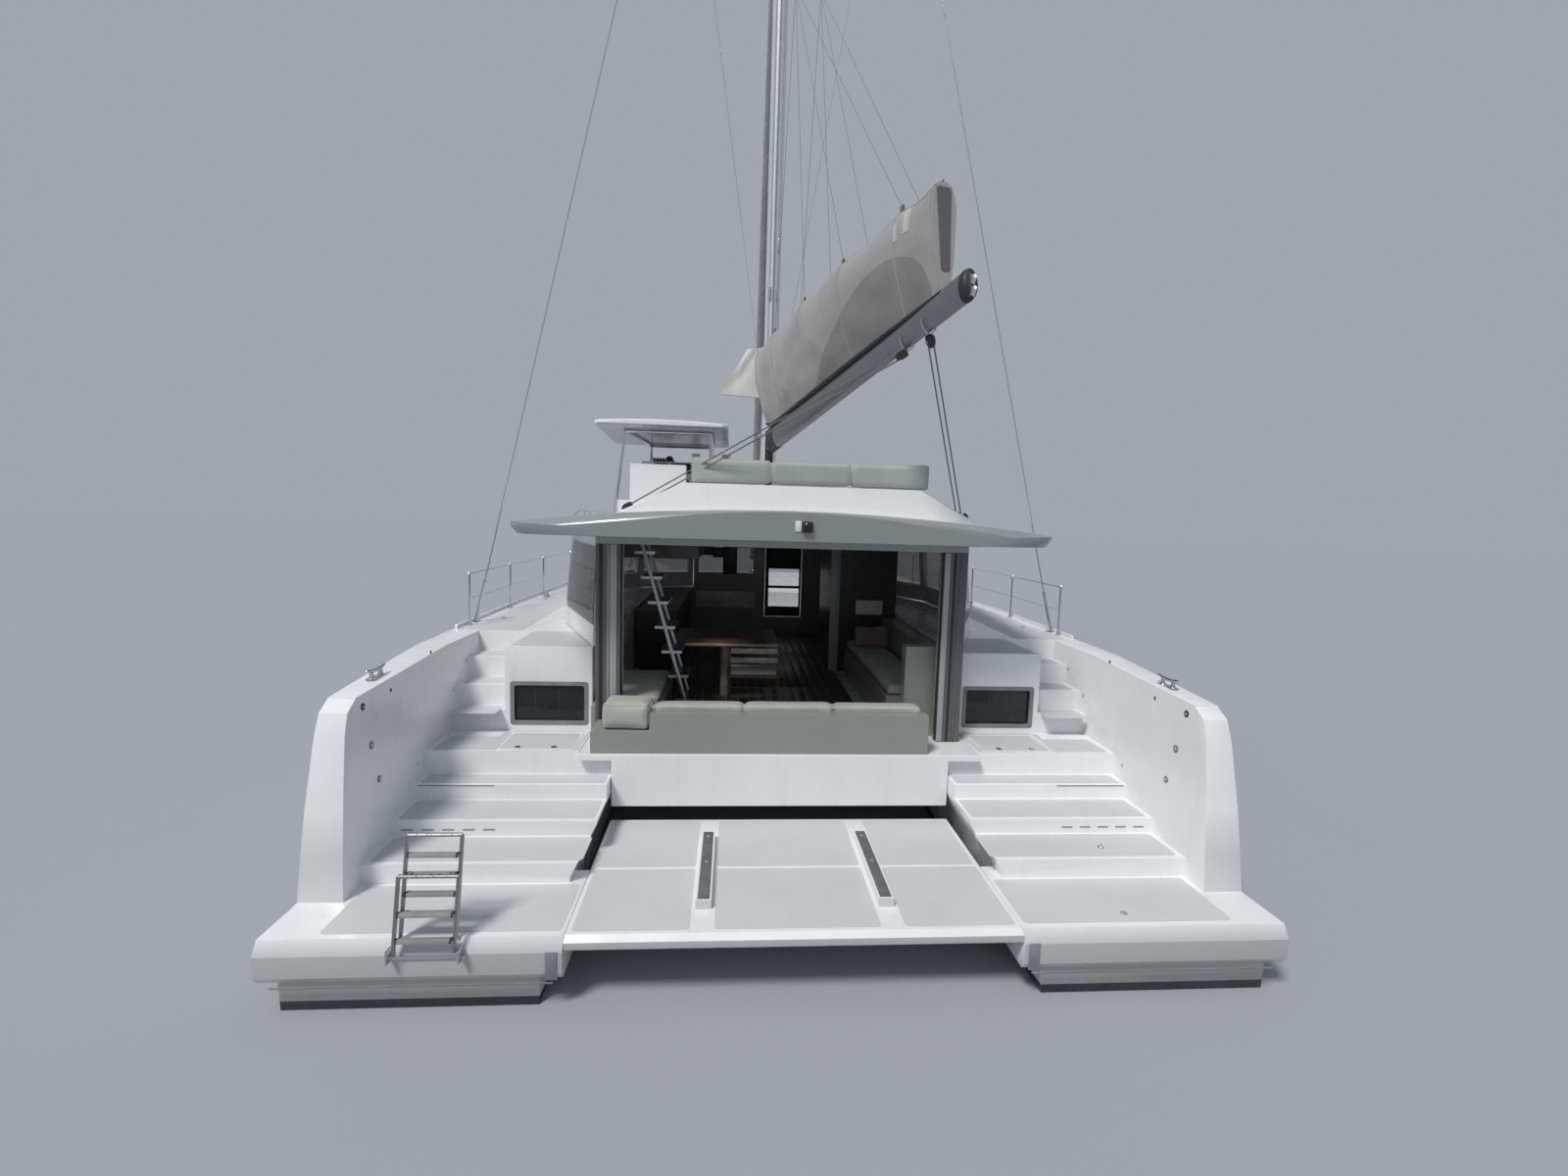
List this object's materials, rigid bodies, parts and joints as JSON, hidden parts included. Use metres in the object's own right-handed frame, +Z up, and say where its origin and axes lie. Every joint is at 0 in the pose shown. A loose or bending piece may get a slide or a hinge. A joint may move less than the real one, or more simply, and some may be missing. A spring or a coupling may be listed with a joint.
{
  "type": "sailing catamaran",
  "caption": "Cruising sailing catamaran with open stern platforms, hardtop saloon, raised helm, furled sails and a swung boom.",
  "frame": {"origin": "on the waterline, on the centreline, half way along the hulls", "axes": "+X to starboard, +Y towards the bows, +Z up"},
  "size_m": [7.676, 14.3677, 23.28],
  "materials": {
    "gelcoat": "gloss gelcoat",
    "grey_gelcoat": "satin gelcoat",
    "non_skid": "fine moulded non-skid",
    "tinted_glass": "dark tinted gloss",
    "bare_alloy": "satin anodised",
    "stainless": "polished stainless steel",
    "bronze": "cast bronze",
    "bag_cloth": "woven acrylic canvas",
    "sailcloth": "woven sailcloth",
    "upholstery": "outdoor vinyl upholstery",
    "wood": "satin varnish",
    "antifouling": "matte antifouling",
    "engine_paint": "satin paint"
  },
  "bodies": {
    "root": {"hull_starboard": "gelcoat", "hull_port": "gelcoat", "bridge_deck": "gelcoat", "stern_platform": "non_skid", "foredeck": "gelcoat", "crossbeam": "bare_alloy", "front_bulkhead": "gelcoat", "front_glass": "tinted_glass", "aft_portal": "grey_gelcoat", "tilt_door": "tinted_glass", "hardtop": "gelcoat", "fly_coaming": "gelcoat", "fly_cushion": "upholstery", "fly_stairs": "stainless", "helm_tub": "gelcoat", "helm_console": "gelcoat", "helm_cushion": "upholstery", "helm_bimini": "gelcoat", "bimini_frame": "stainless", "mast": "bare_alloy", "sail_luff_fold": "sailcloth", "headsail_furled": "sailcloth", "ladder_bracket": "stainless", "cockpit_bench": "grey_gelcoat", "bench_cushion": "upholstery", "sofa": "grey_gelcoat", "sofa_cushion": "upholstery", "galley": "wood", "saloon_table": "wood", "saloon_chair": "wood", "saloon_cabinet": "wood", "port_seat": "grey_gelcoat", "port_seat_cushion": "upholstery", "deckhouse_starboard": "gelcoat", "side_glass_starboard": "tinted_glass", "saildrive_starboard": "engine_paint", "engine_starboard": "engine_paint", "shroud_starboard": "stainless", "guard_rail_starboard": "stainless", "deckhouse_port": "gelcoat", "side_glass_port": "tinted_glass", "saildrive_port": "engine_paint", "engine_port": "engine_paint", "shroud_port": "stainless", "guard_rail_port": "stainless"},
    "boom": {"boom": "bare_alloy", "sail_bag": "bag_cloth"},
    "rudder_starboard": {"rudder_starboard": "antifouling"},
    "rudder_port": {"rudder_port": "antifouling"},
    "steering_wheel": {"steering_wheel": "stainless"},
    "propeller_starboard": {"propeller_starboard": "bronze"},
    "propeller_port": {"propeller_port": "bronze"},
    "forward_door": {"forward_door": "tinted_glass"},
    "anchor_locker_lid": {"anchor_locker_lid": "non_skid"},
    "engine_hatch_starboard": {"engine_hatch_starboard": "non_skid"},
    "engine_hatch_port": {"engine_hatch_port": "non_skid"},
    "ladder": {"ladder": "stainless"},
    "ladder_extension": {"ladder_extension": "stainless"}
  },
  "joints": [
    {"name": "boom_swing", "type": "hinge", "parent": "root", "child": "boom", "pos_m": [0, -0.95, 4.64], "axis": [0, 0, 1], "range_deg": [-69.6, 42.4]},
    {"name": "rudder_starboard_turn", "type": "hinge", "parent": "root", "child": "rudder_starboard", "pos_m": [2.7, -6.1, -0.4], "axis": [0, 0, 1], "range_deg": [-35, 35]},
    {"name": "rudder_port_turn", "type": "hinge", "parent": "root", "child": "rudder_port", "pos_m": [-2.7, -6.1, -0.4], "axis": [0, 0, 1], "range_deg": [-35, 35]},
    {"name": "steering_wheel_turn", "type": "hinge", "parent": "root", "child": "steering_wheel", "pos_m": [-1.475, -1.75, 3.72], "axis": [0, 1, 0], "range_deg": [-525, 525]},
    {"name": "propeller_starboard_spin", "type": "hinge", "parent": "root", "child": "propeller_starboard", "pos_m": [2.7, -4.71, -0.83], "axis": [0, 1, 0], "continuous": true},
    {"name": "propeller_port_spin", "type": "hinge", "parent": "root", "child": "propeller_port", "pos_m": [-2.7, -4.71, -0.83], "axis": [0, 1, 0], "continuous": true},
    {"name": "forward_door_swing", "type": "hinge", "parent": "root", "child": "forward_door", "pos_m": [0.853, 2.053, 2.3], "axis": [0, 0, -1], "range_deg": [0, 88]},
    {"name": "anchor_locker_lift", "type": "hinge", "parent": "root", "child": "anchor_locker_lid", "pos_m": [0, 4.903, 2.073], "axis": [1, 0, 0], "range_deg": [0, 95]},
    {"name": "engine_hatch_starboard_lift", "type": "hinge", "parent": "root", "child": "engine_hatch_starboard", "pos_m": [2.415, -4.573, 1.173], "axis": [-1, 0, 0], "range_deg": [0, 85]},
    {"name": "engine_hatch_port_lift", "type": "hinge", "parent": "root", "child": "engine_hatch_port", "pos_m": [-2.415, -4.573, 1.173], "axis": [-1, 0, 0], "range_deg": [0, 85]},
    {"name": "ladder_drop", "type": "hinge", "parent": "root", "child": "ladder", "pos_m": [-2.565, -7.195, 0.47], "axis": [1, 0, 0], "range_deg": [0, 180]},
    {"name": "ladder_unfold", "type": "hinge", "parent": "ladder", "child": "ladder_extension", "pos_m": [-2.565, -7.091, 0.9591], "axis": [1, 0, 0], "range_deg": [0, 180]}
  ],
  "couplings": [
    {"joint": "rudder_port_turn", "follows": "rudder_starboard_turn", "ratio": 1},
    {"joint": "steering_wheel_turn", "follows": "rudder_starboard_turn", "ratio": 15}
  ]
}
